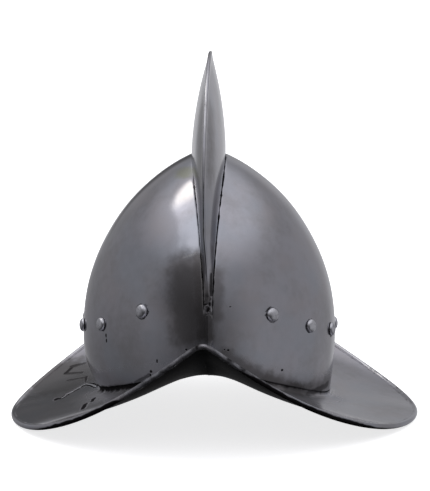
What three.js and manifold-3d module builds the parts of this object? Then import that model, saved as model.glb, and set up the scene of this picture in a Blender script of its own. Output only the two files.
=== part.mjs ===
// Comb morion: two raised skull halves, a hollow comb set between them, a boat-shaped brim and twelve rivets.
// Millimetres, Z up, the floor at Z = 0, the front peak towards -Y.
// Left and right are the wearer's, so left is +X.

import * as THREE from 'three';
import { ParametricGeometry } from 'three/addons/geometries/ParametricGeometry.js';
import { mergeVertices } from 'three/addons/utils/BufferGeometryUtils.js';
import Module from 'manifold-3d';

const wasm = await Module();
wasm.setup();

const { degToRad, lerp } = THREE.MathUtils;

// Sheet and seams
const wall = 1.5; // steel sheet
const seamGap = 0.35; // open seam between two sheets

// Skull halves: each is part of an ellipsoid centred past the middle plane, so that they meet in a keel
const skullSemiX = 143.2;
const skullSemiY = 123.4;
const skullSemiUp = 150.6;
const skullSemiDown = 108.5;
const lowerPower = 2.4; // how long it stays upright below its widest level
const skullPast = 44.5; // how far the centre lies past the middle plane
const widestZ = 66; // height of the skull's widest level
const rootDrop = 44; // from the widest level down to the brim's root at the sides
const rootRise = 26.5; // how much higher the root is on the way to the two peaks
const rootPower = 2.3; // how near the peaks that rise stays
const rootPeak = 9.5; // and higher again right under them
const rootPeakWidth = 0.29; // as the sine of the turn from the peak
const rootTilt = 2.5; // of the root, down on the wearer's left and up on the right
const lowerLean = 5; // of the skull's lowest edge, towards the wearer's left
const leanPower = 3.5; // how near that edge it stays

// Comb, a folded sheet that runs on as a narrow strip down to both peaks
const combHeight = 75; // above the keel, at the top
const combHalfWidth = 13.2; // of its foot, at the top
const stripHalfWidth = 2.6;
const combTaper = 2.9; // how fast the foot narrows towards the strip
const combStart = degToRad(22); // climb from the widest level at which it leaves the strip
const combSwell = 1.3; // how gently its ends rise
const frontDrift = 3.3; // of the ridge's front half, towards the wearer's right
const topDrift = 1.8; // of the ridge's top, towards the left
const topPower = 8; // how near the top that stays
const driftHeight = 20; // of the comb, from which the ridge drifts in full
const combBulge = 1.8; // how long its sides stay upright
const combPoint = 0.95; // how sharply they close at the ridge
const ridgeHalfWidth = 0.7; // blunt edge along the ridge

// Brim
const brimHalfWidth = 157.5;
const brimShift = 3.8; // further out on the wearer's left than on the right
const peakShift = 3.6; // of both points, towards the wearer's right
const brimHalfLength = 152;
const peakLength = 20.8; // further out at the two points
const peakHalfWidth = 120;
const peakPower = 1.6;
const peakRounding = 0.03; // as a part of the brim's half width
const frontRise = 84.5; // of the edge, from the sides up to the front peak
const frontPower = 1.54;
const rearRise = 91;
const rearPower = 1.1;
const beadRadius = 2.3; // rolled edge
const footWear = 0.3; // worn off the roll where the helmet stands
const rootFillet = 4;
const sideDish = 1; // hollow of the brim between root and edge, at the sides and under the peaks
const quarterDish = 5; // how much deeper it is on the way round to the peaks
const dishPower = 4; // how near the peaks that is

// Rivets, set by hand: degrees from the front peak, seen from above, and height above the floor
const rivetRows = {
  left: [
    { turn: 27, height: 94 },
    { turn: 49.5, height: 80.4 },
    { turn: 71, height: 71.7 },
    { turn: 97, height: 68.1 },
    { turn: 126, height: 79.3 },
    { turn: 152, height: 95.3 },
  ],
  right: [
    { turn: 28.5, height: 96.4 },
    { turn: 54, height: 80.8 },
    { turn: 80, height: 72.7 },
    { turn: 101, height: 72.8 },
    { turn: 126, height: 79.8 },
    { turn: 151.5, height: 96.4 },
  ],
};
const headRadius = 4.9;
const headHeight = 3.5;
const shankRadius = 2;
const tailRadius = 3.1;
const tailHeight = 1.3;
const tailGap = 0.8; // clear of the skull's flat facets
const drillLength = 10;

// Fineness of the facets
const columns = 40; // from the front peak to the rear one
const rows = 11; // from the comb's foot to the brim's root
const rowSpread = degToRad(65); // packs the rows towards the comb
const combSteps = [0, 0.25, 0.47, 0.65, 0.8, 0.92, 1]; // heights up a side of the comb
const filletSteps = 2;
const flatSteps = 4;
const beadSteps = 7;
const roundSides = 10;
const domeSteps = [25, 55].map(degToRad); // up the rivet's head
const nudge = 0.001; // for slopes
const solveRounds = 20;
const weldReach = 0.0005;

// Steel, as light as it shows
const sheetSteel = { color: 0x77777f, roughness: 0.38, metalness: 1 };
const rivetSteel = { color: 0x8c8c92, roughness: 0.42, metalness: 1 };

// Skull surface
function lift(rise) {
  return rise > 0 ? (rise / skullSemiUp) ** 2 : (-rise / skullSemiDown) ** lowerPower;
}

function liftSlope(rise) {
  if (rise > 0) return (2 * rise) / skullSemiUp ** 2;
  return (-lowerPower * (-rise / skullSemiDown) ** (lowerPower - 1)) / skullSemiDown;
}

function skullWidthAt(y, z) {
  const level = 1 - (y / skullSemiY) ** 2 - lift(z - widestZ);
  return skullSemiX * Math.sqrt(level) - skullPast;
}

function skullNormal(point) {
  const across = (2 * (point.x + Math.sign(point.x) * skullPast)) / skullSemiX ** 2;
  const along = (2 * point.y) / skullSemiY ** 2;
  return new THREE.Vector3(across, along, liftSlope(point.z - widestZ)).normalize();
}

function insideOf(point) {
  return point.clone().addScaledVector(skullNormal(point), -wall);
}

// The skull's point at an angle from the front peak, seen from above, and at a height
function skullPoint(turn, z) {
  const across = Math.sin(turn);
  const along = Math.cos(turn);
  const a = (across / skullSemiX) ** 2 + (along / skullSemiY) ** 2;
  const b = (Math.abs(across) * skullPast) / skullSemiX ** 2;
  const c = (skullPast / skullSemiX) ** 2 + lift(z - widestZ) - 1;
  const reach = (Math.sqrt(b * b - a * c) - b) / a;
  return new THREE.Vector3(reach * across, -reach * along, z);
}

// The brim's root: its height before it tilts
function rootHeight(turn) {
  const broad = rootRise * Math.abs(Math.cos(turn)) ** rootPower;
  const pointed = rootPeak * Math.exp(-((Math.sin(turn) / rootPeakWidth) ** 2));
  return widestZ - rootDrop + broad + pointed;
}

// The skull below its widest level leans over to one side
function leaned(point) {
  const below = Math.max(0, widestZ - point.z) / rootDrop;
  return point.clone().setX(point.x + lowerLean * below ** leanPower);
}

// The comb's foot, by its climb from the front around the middle of the widest level
function footWidth(climb) {
  return lerp(stripHalfWidth, combHalfWidth, Math.max(0, Math.sin(climb)) ** combTaper);
}

function reachAt(climb, halfWidth) {
  const level = 1 - ((halfWidth + skullPast) / skullSemiX) ** 2;
  const upright = Math.sin(climb);
  const along = Math.abs(Math.cos(climb)) / skullSemiY;
  if (upright > 0) return Math.sqrt(level / (along ** 2 + (upright / skullSemiUp) ** 2));
  let reach = Math.sqrt(level) / along;
  for (let i = 0; i < solveRounds; i += 1) reach = Math.sqrt(level - lift(reach * upright)) / along;
  return reach;
}

function climbPoint(climb, x, reach) {
  return new THREE.Vector3(x, -reach * Math.cos(climb), widestZ + reach * Math.sin(climb));
}

// The comb's strip, the brim's root and a skull half meet at a corner below each peak
function turnAtWidth(halfWidth) {
  let turn = 0;
  for (let i = 0; i < solveRounds; i += 1) {
    turn = Math.atan(halfWidth / -skullPoint(turn, rootHeight(turn)).y);
  }
  return turn;
}

const cornerTurn = turnAtWidth(stripHalfWidth + seamGap);
const corner = skullPoint(cornerTurn, rootHeight(cornerTurn));
const cornerClimb = Math.atan2(corner.z - widestZ, -corner.y);
const parts = Array.from({ length: columns + 1 }, (_, i) => i / columns);
const turns = parts.map((part) => lerp(cornerTurn, Math.PI - cornerTurn, part));
const climbs = parts.map((part) => lerp(cornerClimb, Math.PI - cornerClimb, part));

// The root's point at a turn, on the wearer's left (1) or right (-1)
function rootPoint(turn, side) {
  const away = 1 - (Math.cos(turn) / Math.cos(cornerTurn)) ** 2;
  return skullPoint(turn, rootHeight(turn) - side * rootTilt * away);
}

// Solids: loops of points, carried from one to the next and welded into a closed skin
function weld(geometry) {
  geometry.deleteAttribute('normal');
  geometry.deleteAttribute('uv');
  const welded = mergeVertices(geometry, weldReach);
  const old = welded.index.array;
  const kept = [];
  for (let i = 0; i < old.length; i += 3) {
    const [a, b, c] = old.slice(i, i + 3);
    if (a !== b && b !== c && c !== a) kept.push(a, b, c);
  }
  welded.setIndex(kept);
  return welded;
}

function loft(loops, isRing) {
  const spans = isRing ? loops.length : loops.length - 1;
  const size = loops[0].length;
  const pick = (u, v, target) => {
    const loop = loops[Math.round(u * spans) % loops.length];
    target.copy(loop[Math.round(v * size) % size]);
  };
  return weld(new ParametricGeometry(pick, spans, size));
}

function volume(geometry) {
  const [a, b, c] = [0, 1, 2].map(() => new THREE.Vector3());
  const index = geometry.index.array;
  let sum = 0;
  for (let i = 0; i < index.length; i += 3) {
    [a, b, c].forEach((corner, k) => corner.fromBufferAttribute(geometry.attributes.position, index[i + k]));
    sum += a.dot(b.cross(c)) / 6;
  }
  return sum;
}

function faceOut(geometry) {
  if (volume(geometry) < 0) geometry.setIndex([...geometry.index.array].reverse());
  return geometry;
}

function toSolid(geometry) {
  const vertProperties = Float32Array.from(geometry.attributes.position.array);
  const triVerts = Uint32Array.from(geometry.index.array);
  return new wasm.Manifold(new wasm.Mesh({ numProp: 3, vertProperties, triVerts }));
}

function toGeometry(solid) {
  const mesh = solid.getMesh();
  const geometry = new THREE.BufferGeometry();
  geometry.setAttribute('position', new THREE.BufferAttribute(mesh.vertProperties, 3));
  geometry.setIndex(new THREE.BufferAttribute(mesh.triVerts, 1));
  return geometry;
}

function cutAway(geometry, cutters) {
  const whole = toSolid(faceOut(geometry));
  return toGeometry(cutters.reduce((solid, cutter) => solid.subtract(toSolid(faceOut(cutter))), whole));
}

// One skull half: each column runs from the comb's foot down to the root and back up the inside
function skullColumn(part, sign) {
  const climb = climbs[part];
  const halfWidth = footWidth(climb) + seamGap;
  const foot = climbPoint(climb, halfWidth, reachAt(climb, halfWidth));
  const root = rootPoint(turns[part], sign);
  const outside = Array.from({ length: rows + 1 }, (_, row) => {
    const height = Math.sin(rowSpread * (1 - row / rows)) / Math.sin(rowSpread);
    const y = lerp(root.y, foot.y, height);
    const z = lerp(root.z, foot.z, height);
    return new THREE.Vector3(skullWidthAt(y, z), y, z);
  });
  const loop = [...outside, ...outside.map(insideOf).reverse()];
  return loop.map((point) => leaned(point.setX(sign * point.x)));
}

function skullHalf(sign, rivets) {
  const shell = loft(parts.map((_, i) => skullColumn(i, sign)), false);
  const holes = rivets.map((rivet) => {
    const radius = shankRadius + seamGap;
    const drill = weld(new THREE.CylinderGeometry(radius, radius, drillLength, roundSides));
    return drill.applyMatrix4(rivetPlace(rivet, sign));
  });
  return cutAway(shell, holes);
}

// How far the ridge stands off the middle plane
function ridgeDrift(climb, height) {
  const front = frontDrift * Math.max(0, Math.sin(2 * climb));
  const top = topDrift * Math.max(0, Math.sin(climb)) ** topPower;
  return (top - front) * Math.min(1, height / driftHeight);
}

// Comb: its section at a climb, up the left side, over the ridge and down the right
function combLoop(climb) {
  const halfWidth = footWidth(climb);
  const footReach = reachAt(climb, halfWidth);
  const rise = Math.max(0, Math.sin((Math.PI * (climb - combStart)) / (Math.PI - 2 * combStart)));
  const height = combHeight * rise ** combSwell;
  const ridgeReach = reachAt(climb, 0) + height;
  const side = combSteps.map((step) => {
    const x = halfWidth * (1 - step ** combBulge) ** combPoint;
    return new THREE.Vector2(step < 1 ? Math.max(x, ridgeHalfWidth) : 0, lerp(footReach, ridgeReach, step));
  });
  const drift = ridgeDrift(climb, height);
  const lay = (line, sign) => line.map((point) => {
    const part = Math.max(0, point.y - footReach) / (ridgeReach - footReach);
    return climbPoint(climb, sign * point.x + drift * part, point.y);
  });
  const skins = [1, -1].map((sign) => lay(side, sign));
  const linings = [1, -1].map((sign) => lay(hollowOf(side), sign));
  linings.forEach((line, i) => line.splice(0, 1, insideOf(skins[i][0])));
  const joined = ([left, right]) => [...left, ...right.slice(0, -1).reverse()].map(leaned);
  const over = joined(skins);
  return { full: [...over, ...joined(linings).reverse()], flat: [...over, ...[...over].reverse()] };
}

// The inner face of a comb's side, a wall's thickness in, closed where it meets the other side's
function hollowOf(side) {
  const inner = side.map((point, i) => {
    const before = side[Math.max(i - 1, 0)];
    const after = side[Math.min(i + 1, side.length - 1)];
    const run = after.clone().sub(before).normalize();
    if (i === side.length - 1) run.set(-1, 0);
    return point.clone().add(new THREE.Vector2(-run.y, run.x).multiplyScalar(wall));
  });
  const last = inner.findIndex((point) => point.x <= 0);
  const from = inner[last - 1];
  const apex = from.clone().lerp(inner[last], from.x / (from.x - inner[last].x));
  return inner.map((point, i) => (i < last ? point : apex));
}

function comb() {
  const sections = climbs.map(combLoop);
  const loops = sections.map((section) => section.full);
  return faceOut(loft([sections[0].flat, ...loops, sections.at(-1).flat], false));
}

// Brim
function edgePoint(turn) {
  const across = Math.sin(turn);
  const along = Math.cos(turn);
  const rounded = (part) => Math.hypot(part, peakRounding) - peakRounding;
  const away = rounded(across) / rounded(1);
  const peak = peakLength * Math.max(0, 1 - (away * brimHalfWidth) / peakHalfWidth) ** peakPower;
  const x = brimHalfWidth * across + brimShift * across ** 2 - peakShift * along ** 2;
  const y = -Math.sign(along) * (brimHalfLength * Math.abs(along) + peak);
  const rise = along > 0 ? frontRise * (1 - away) ** frontPower : rearRise * (1 - away) ** rearPower;
  const z = beadRadius - footWear + rise;
  return new THREE.Vector3(x, y, z);
}

function slopeOf(pointAt, turn) {
  return pointAt(turn + nudge).sub(pointAt(turn - nudge)).normalize();
}

// The brim's section: out of the skull's wall, round the fillet, straight out, and around the rolled edge
function brimLoop(turn) {
  const side = Math.sign(Math.sin(turn));
  const rootAt = (there) => leaned(rootPoint(there, side));
  const out = skullNormal(rootPoint(turn, side));
  const down = slopeOf(rootAt, turn).cross(out).normalize();
  if (down.z > 0) down.negate();
  const start = rootAt(turn).addScaledVector(out, -wall / 2).addScaledVector(down, seamGap);
  const elbow = start.clone().addScaledVector(down, rootFillet);
  const end = edgePoint(turn);
  const ahead = end.clone().sub(elbow).normalize();
  const up = down.clone().negate().projectOnPlane(ahead).normalize();
  const bendEnd = elbow.clone().addScaledVector(ahead, rootFillet);
  const bend = new THREE.QuadraticBezierCurve3(start, elbow, bendEnd);
  const sheetEnd = end.clone().addScaledVector(ahead, -Math.sqrt(beadRadius ** 2 - (wall / 2) ** 2));
  const dish = sideDish + quarterDish * Math.abs(Math.sin(2 * turn)) * Math.cos(turn) ** dishPower;
  const flat = new THREE.QuadraticBezierCurve3(bendEnd, bendEnd.clone().lerp(sheetEnd, 0.5), sheetEnd);
  flat.v1.addScaledVector(up, -2 * dish);
  const middle = [...bend.getPoints(filletSteps), ...flat.getPoints(flatSteps).slice(1)];
  const sideways = middle.map((_, i) => {
    const past = i - filletSteps;
    const run = past < 0 ? bend.getTangent(i / filletSteps) : flat.getTangent(past / flatSteps);
    return up.clone().multiplyScalar(run.dot(ahead)).addScaledVector(ahead, -run.dot(up));
  });
  const face = (offset) => middle.map((point, i) => point.clone().addScaledVector(sideways[i], offset));
  return [...face(wall / 2), ...beadArc(turn, end, ahead), ...face(-wall / 2).reverse()];
}

function beadArc(turn, centre, ahead) {
  const along = slopeOf(edgePoint, turn);
  const outward = ahead.clone().projectOnPlane(along).normalize();
  const upward = along.cross(outward).normalize();
  if (upward.z < 0) upward.negate();
  const half = Math.PI - Math.asin(wall / 2 / beadRadius);
  return Array.from({ length: beadSteps - 1 }, (_, i) => {
    const angle = lerp(half, -half, (i + 1) / beadSteps);
    const point = centre.clone().addScaledVector(outward, beadRadius * Math.cos(angle));
    return point.addScaledVector(upward, beadRadius * Math.sin(angle));
  });
}

function brim() {
  const half = [0, ...turns];
  const around = [...half, ...half.map((turn) => turn + Math.PI)];
  const floorSize = 4 * brimHalfLength;
  const floor = weld(new THREE.BoxGeometry(floorSize, floorSize, floorSize)).translate(0, 0, -floorSize / 2);
  return cutAway(loft(around.map(brimLoop), true), [floor]);
}

// Rivets: a domed head outside the skull, a shank through its hole and a plain peened tail inside
function rivetPlace(rivet, sign) {
  const turn = degToRad(rivet.turn);
  const seat = skullPoint(turn, rivet.height);
  const out = skullNormal(seat);
  const axis = new THREE.Vector3(0, 1, 0);
  const facing = new THREE.Quaternion().setFromUnitVectors(axis, out.setX(sign * out.x));
  return new THREE.Matrix4().compose(seat.setX(sign * seat.x), facing, new THREE.Vector3(1, 1, 1));
}

function rivetGeometry() {
  const inside = -wall - tailGap;
  const profile = [
    [0, inside - tailHeight],
    [tailRadius, inside - tailHeight],
    [tailRadius, inside],
    [shankRadius, inside],
    [shankRadius, seamGap],
    [headRadius, seamGap],
    ...domeSteps.map((step) => [headRadius * Math.cos(step), lerp(seamGap, headHeight, Math.sin(step))]),
    [0, headHeight],
  ];
  const points = profile.map(([radius, height]) => new THREE.Vector2(radius, height));
  return faceOut(weld(new THREE.LatheGeometry(points, roundSides)));
}

function addPiece(group, name, geometry, finish) {
  const piece = new THREE.Mesh(geometry, new THREE.MeshStandardMaterial(finish));
  piece.name = name;
  group.add(piece);
  return piece;
}

const helmet = new THREE.Group();
helmet.position.x = -brimShift;
addPiece(helmet, 'comb', comb(), sheetSteel);
addPiece(helmet, 'brim', brim(), sheetSteel);
for (const [side, sign] of [['left', 1], ['right', -1]]) {
  addPiece(helmet, `skull_${side}`, skullHalf(sign, rivetRows[side]), sheetSteel);
  rivetRows[side].forEach((rivet, i) => {
    const piece = addPiece(helmet, `rivet_${side}_${i + 1}`, rivetGeometry(), rivetSteel);
    rivetPlace(rivet, sign).decompose(piece.position, piece.quaternion, piece.scale);
  });
}

export default helmet;
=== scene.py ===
import math

import bmesh
import bpy
from mathutils import Matrix, Vector, noise


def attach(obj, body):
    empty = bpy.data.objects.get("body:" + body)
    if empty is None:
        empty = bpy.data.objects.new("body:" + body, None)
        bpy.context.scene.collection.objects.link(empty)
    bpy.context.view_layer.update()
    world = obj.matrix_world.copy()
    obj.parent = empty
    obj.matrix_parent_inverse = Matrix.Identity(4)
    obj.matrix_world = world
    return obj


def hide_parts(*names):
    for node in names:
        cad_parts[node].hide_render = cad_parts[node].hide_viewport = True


# Comb morion in bare steel: fine sheets, seams and rivets over the CAD frame
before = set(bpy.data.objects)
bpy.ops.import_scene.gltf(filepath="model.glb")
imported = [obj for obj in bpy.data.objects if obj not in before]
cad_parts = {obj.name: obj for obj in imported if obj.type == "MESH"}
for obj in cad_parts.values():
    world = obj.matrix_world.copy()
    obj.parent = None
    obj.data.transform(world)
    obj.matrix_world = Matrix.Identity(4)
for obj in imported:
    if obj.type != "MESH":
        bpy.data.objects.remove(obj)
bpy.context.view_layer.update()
mm = 0.001
middleX = -3.8  # the skull's middle plane, shapes below are in mm around it
weldDistance = 0.0004  # points nearer than this are one
settleRounds = 20  # enough for a place found by repeating
markLayers = ("grimeAndShade", "paintedHighlight", "matt")
print("frame loaded with", len(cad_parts), "CAD nodes")


def mix(a, b, t):
    return a + (b - a) * t


def fade(t):
    t = min(1.0, max(0.0, t))
    return t * t * (3 - 2 * t)


# a pair holds a value for the wearer's left (side 1) and one for the right (side -1)
def ofSide(pair, side):
    return pair[0] if side > 0 else pair[1]


# steps from 0 to 1, pulled together at the ends (waves 1) or at ends and middle (waves 2)
def packedSteps(count, pull, waves=1):
    turn = 2 * math.pi * waves
    return [i / count - pull * math.sin(turn * i / count) / turn for i in range(count + 1)]


# what the hammer left in the sheet
hammering = {"slowSize": 42.0, "slowDepth": 0.3, "quickSize": 15.0, "quickDepth": 0.06}


def unevenness(point, part=1.0):
    slow = noise.noise(point / hammering["slowSize"]) * hammering["slowDepth"]
    quick = noise.noise(point / hammering["quickSize"]) * hammering["quickDepth"]
    return (slow + quick) * part


# 1 along a line, fading out beside it
def band(distance, halfWidth, full=1.4):
    return fade(full - abs(distance) / halfWidth)


# ragged edges of dirt and painted shade, from a broad and a fine noise
def raggedAt(point, sizes):
    broad, fine = sizes
    return noise.noise(point / broad) + 0.5 * noise.noise(point / fine)


# edge of a sheet that is dressed down into its seam
def edgeRoll(distance, reach, depth):
    return -depth * max(0.0, 1 - distance / reach) ** 2


# a closed skin: a grid whose columns are laid onto section loops, then welded
# each loop point is (place, grime and painted shade, painted highlight, matt), and faces past insideFrom are
# inside
def skinFromLoops(loops, isRing, insideFrom):
    bm = bmesh.new()
    spans = len(loops) if isRing else len(loops) - 1
    size = len(loops[0])
    bmesh.ops.create_grid(bm, x_segments=spans, y_segments=size, size=0.5)
    layers = [bm.verts.layers.float.new(mark) for mark in markLayers]
    for face in bm.faces:
        face.smooth = True
        face.material_index = int((face.calc_center_median().y + 0.5) * size > insideFrom)
    for vert in bm.verts:
        column = round((vert.co.x + 0.5) * spans) % len(loops)
        row = round((vert.co.y + 0.5) * size) % size
        vert.co, *marks = loops[column][row]
        for layer, mark in zip(layers, marks):
            vert[layer] = mark
    bmesh.ops.remove_doubles(bm, verts=bm.verts, dist=weldDistance)
    bmesh.ops.holes_fill(bm, edges=[edge for edge in bm.edges if edge.is_boundary], sides=0)
    bmesh.ops.recalc_face_normals(bm, faces=bm.faces)
    return bm


# metres, in place, dressed with its materials and tied to its CAD node
def finishPiece(bm, name, node, materials, sharpAngle=math.radians(38)):
    bmesh.ops.scale(bm, vec=(mm, mm, mm), verts=bm.verts)
    bmesh.ops.translate(bm, vec=(middleX * mm, 0, 0), verts=bm.verts)
    openEdges = sum(not edge.is_manifold for edge in bm.edges)
    mesh = bpy.data.meshes.new(name)
    bm.to_mesh(mesh)
    bm.free()
    mesh.set_sharp_from_angle(angle=sharpAngle)
    for material in materials:
        mesh.materials.append(material)
    piece = bpy.data.objects.new(name, mesh)
    bpy.context.scene.collection.objects.link(piece)
    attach(piece, "root")
    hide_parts(node)
    print(name, len(mesh.polygons), "faces,", openEdges, "open edges")


# shader nodes: a socket that takes arithmetic, and one way to add any node
class Wire:
    def __init__(self, tree, socket=None):
        self.tree = tree
        self.socket = socket

    def node(self, kind, settings=None, inputs=None, output=0):
        made = self.tree.nodes.new(kind)
        for key, value in (settings or {}).items():
            setattr(made, key, value)
        for key, value in (inputs or {}).items():
            if isinstance(value, Wire):
                self.tree.links.new(value.socket, made.inputs[key])
            else:
                made.inputs[key].default_value = value
        return Wire(self.tree, made.outputs[output])

    def math(self, operation, a, b=0.0):
        return self.node("ShaderNodeMath", {"operation": operation}, {0: a, 1: b})

    def __add__(self, other):
        return self.math("ADD", self, other)

    def __radd__(self, other):
        return self.math("ADD", other, self)

    def __sub__(self, other):
        return self.math("SUBTRACT", self, other)

    def __rsub__(self, other):
        return self.math("SUBTRACT", other, self)

    def __mul__(self, other):
        return self.math("MULTIPLY", self, other)

    def most(self, other):
        return self.math("MAXIMUM", self, other)

    def least(self, other):
        return self.math("MINIMUM", self, other)

    # smooth step from low to high
    def between(self, low, high):
        settings = {"interpolation_type": "SMOOTHSTEP"}
        return self.node("ShaderNodeMapRange", settings, {0: self, 1: low, 2: high, 3: 0.0, 4: 1.0})

    def vector(self, operation, a, b=(0, 0, 0), output=0):
        return self.node("ShaderNodeVectorMath", {"operation": operation}, {0: a, 1: b}, output)

    def blend(self, factor, a, b):
        return self.node("ShaderNodeMix", {"data_type": "RGBA"}, {0: factor, 6: a, 7: b}, 2)

    # noise on a place in mm, with marks of about that size
    def speckle(self, size, detail=3.0, roughness=0.5):
        inputs = {"Vector": self, "Scale": 1 / size, "Detail": detail, "Roughness": roughness}
        return self.node("ShaderNodeTexNoise", {"normalize": True}, inputs)

    # 1 at the middle of a blot, 0 at its edge and below beyond it
    def blot(self, centre, size):
        away = self.vector("DIVIDE", self.vector("SUBTRACT", self, centre), size)
        return 1 - self.node("ShaderNodeVectorMath", {"operation": "LENGTH"}, {0: away}, 1)

    # the same around a straight stroke between two places
    def stroke(self, begin, end, reach):
        span = Vector(end) - Vector(begin)
        away = self.vector("SUBTRACT", self, begin)
        part = self.vector("DOT_PRODUCT", away, span / span.length_squared, "Value")
        part = part.most(0.0).least(1.0)
        back = self.node("ShaderNodeVectorMath", {"operation": "SCALE"}, {0: tuple(span), "Scale": part})
        gap = self.vector("DISTANCE", away, back, "Value")
        return 1 - gap * (1 / reach)


def newMaterial(name):
    material = bpy.data.materials.new(name)
    material.use_nodes = True
    material.node_tree.nodes.clear()
    return material, Wire(material.node_tree)


def placeInMm(start):
    where = start.node("ShaderNodeTexCoord", {}, {}, "Object")
    return start.node("ShaderNodeVectorMath", {"operation": "SCALE"}, {0: where, "Scale": 1 / mm})


def marked(start, layer):
    return start.node("ShaderNodeAttribute", {"attribute_name": layer}, {}, "Fac")


# a height in mm, as a normal
def bumped(start, height):
    return start.node("ShaderNodeBump", {}, {"Height": height * mm, "Strength": 1.0, "Distance": 1.0})


def closeMaterial(start, inputs):
    shader = start.node("ShaderNodeBsdfPrincipled", {}, inputs)
    out = start.tree.nodes.new("ShaderNodeOutputMaterial")
    start.tree.links.new(shader.socket, out.inputs["Surface"])


def strongest(marks):
    top, *rest = marks
    for mark in rest:
        top = top.most(mark)
    return top


sheetFinish = {
    "steel": (0.385, 0.380, 0.415, 1.0),
    "dull": (0.30, 0.295, 0.31, 1.0),
    "warm": (0.375, 0.355, 0.375, 1.0),
    # colour of the painted highlights
    "worn": (0.70, 0.695, 0.71, 1.0),
    "stainAndShade": (0.122, 0.113, 0.112, 1.0),
    "slate": (0.345, 0.365, 0.410, 1.0),
    "straw": (0.31, 0.315, 0.25, 1.0),
    "dirtAndShade": (0.010, 0.009, 0.010, 1.0),
    "warmShare": 0.7,
    "slateShare": 0.6,
    "broadSize": 48.0,  # sizes of the clouds, in mm
    "warmSize": 31.0,
    "slateSize": 37.0,
    "mottleSize": 7.0,
    "grainSize": 0.9,
    "streaks": (1.6, 1.6, 0.03),
    "polish": 0.11,  # roughness, and what is added to it
    "broadRough": 0.06,
    "streakRough": 0.05,
    "stainShadeRough": 0.08,
    "wornRough": 0.25,
    "mattRough": 0.25,
    "sootShadeRough": 0.75,
    "sootShadeCover": 0.95,  # share of the metal that is hidden
    "wornCover": 0.45,
    "shine": 0.02,  # of dirt and painted shade
    "grainHeight": 0.008,
    "streakHeight": 0.010,
    "mottleHeight": 0.02,
    "sootShadeHeight": 0.2,
    "ragged": 0.7,
    "glintRag": 1.8,
    "pitRag": 0.6,
    "grimeShadeRag": 0.8,
    # where each kind of cloud or mark fades in
    "edges": {
        "dull": (0.6, 1.05),
        "warm": (0.45, 0.7),
        "slate": (0.45, 0.7),
        "stains": (0.0, 0.5),
        "straws": (0.0, 0.7),
        "smearsAndShade": (0.0, 0.75),
        "paintedGlints": (0.1, 0.9),
        "pits": (0.0, 0.4),
        "strokesAndShade": (0.05, 0.6),
        "darkReflections": (0.0, 0.4),
        "grimeAndShadeMask": (0.35, 0.85),
    },
    # centre and reach of each mark, in mm from the middle of the floor under the helmet, and depth
    "stains": [((-124.0, 58.0, 13.0), (48.0, 62.0, 19.0), 0.85)],
    "straws": [((-22.0, -36.0, 193.0), (13.0, 18.0, 6.5), 0.9)],
    # brown smears, partly stains and partly painted dark reflection and shade, bright painted highlights,
    # and dark strokes, partly marks and partly painted shade: two ends, half width and depth
    "smearsAndShade": [
        ((-10.0, -99.5, 136.0), (-8.0, -112.5, 84.0), 12.0, 0.86),
        ((-20.0, -97.5, 128.0), (-19.0, -110.0, 86.0), 21.0, 0.75),
        ((-4.2, -103.0, 145.0), (-3.8, -114.5, 80.0), 6.0, 0.86),
        ((1.5, -104.5, 126.0), (1.5, -111.5, 98.0), 9.0, 0.55),
        ((-8.0, -70.0, 240.0), (-9.5, -93.0, 198.0), 15.0, 0.6),
        ((8.0, -113.5, 68.0), (38.0, -98.0, 46.0), 9.0, 0.7),
        ((38.0, -98.0, 46.0), (64.0, -74.0, 33.0), 10.0, 0.8),
        ((64.0, -74.0, 32.0), (90.0, -24.0, 29.0), 9.0, 0.7),
    ],
    # painted highlight: the ragged bright lower edge of the big highlight on the skull
    "paintedGlints": [
        ((-9.6, -98.4, 142.4), (-14.0, -96.7, 141.2), 1.9, 0.6),
        ((-13.0, -97.0, 140.4), (-22.0, -94.5, 137.2), 1.3, 0.5),
    ],
    "pits": [
        ((-80.8, -64.7, 73.4), (0.9, 1.6, 2.2)),
        ((-80.5, -65.4, 69.6), (0.9, 1.6, 2.0)),
        ((-41.6, -101.0, 61.3), (0.8, 2.0, 1.8)),
        ((-46.2, -97.6, 52.8), (1.3, 2.0, 1.4)),
        ((-46.6, -96.9, 50.0), (0.9, 2.0, 1.3)),
        ((50.5, -88.5, 51.7), (1.1, 2.0, 1.1)),
        ((10.6, -112.3, 71.7), (1.1, 2.0, 1.0)),
        ((7.9, -113.1, 72.3), (0.7, 2.0, 0.7)),
        ((-19.8, -111.7, 72.0), (1.2, 2.0, 1.1)),
        ((12.2, -107.6, 102.8), (1.0, 2.0, 0.6)),
        ((-123.6, -8.2, 11.2), (3.6, 7.0, 3.0)),
    ],
    # strokes: marks on the left brim, and painted shade along the bowl's foot at the front
    "strokesAndShade": [
        ((-120.7, 66.3, 16.0), (-108.9, 58.6, 18.3), 3.6, 0.8),
        ((-118.9, 47.6, 14.5), (-106.7, 42.5, 17.4), 3.6, 0.8),
        ((-103.9, 43.8, 18.6), (-103.5, 27.0, 17.6), 1.8, 0.9),
        ((-118.0, 80.0, 19.2), (-109.3, 80.3, 21.5), 4.4, 0.8),
        ((-122.9, 68.1, 15.8), (-119.0, 76.5, 18.2), 3.0, 0.9),
        ((-92.2, -62.0, 22.0), (-91.6, -52.0, 22.6), 3.4, 1.0),
        ((-98.0, -78.0, 19.0), (-97.4, -62.0, 20.4), 3.8, 1.0),
        ((-1.3, -108.7, 126.6), (-1.4, -110.7, 112.2), 2.0, 0.8),
        ((-84.2, -44.7, 28.6), (-60.0, -83.0, 39.5), 3.2, 0.9),
        ((-58.0, -86.0, 42.0), (-47.0, -96.5, 50.0), 2.0, 0.7),
        ((70.9, -65.9, 28.0), (88.5, -29.0, 28.0), 3.6, 0.7),
    ],
    # painted dark reflection of the bowl: broad dark places on the brim
    "darkReflections": [((64.0, -100.0, 28.0), (20.0, 52.0, 16.0), 0.5)],
}


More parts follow.
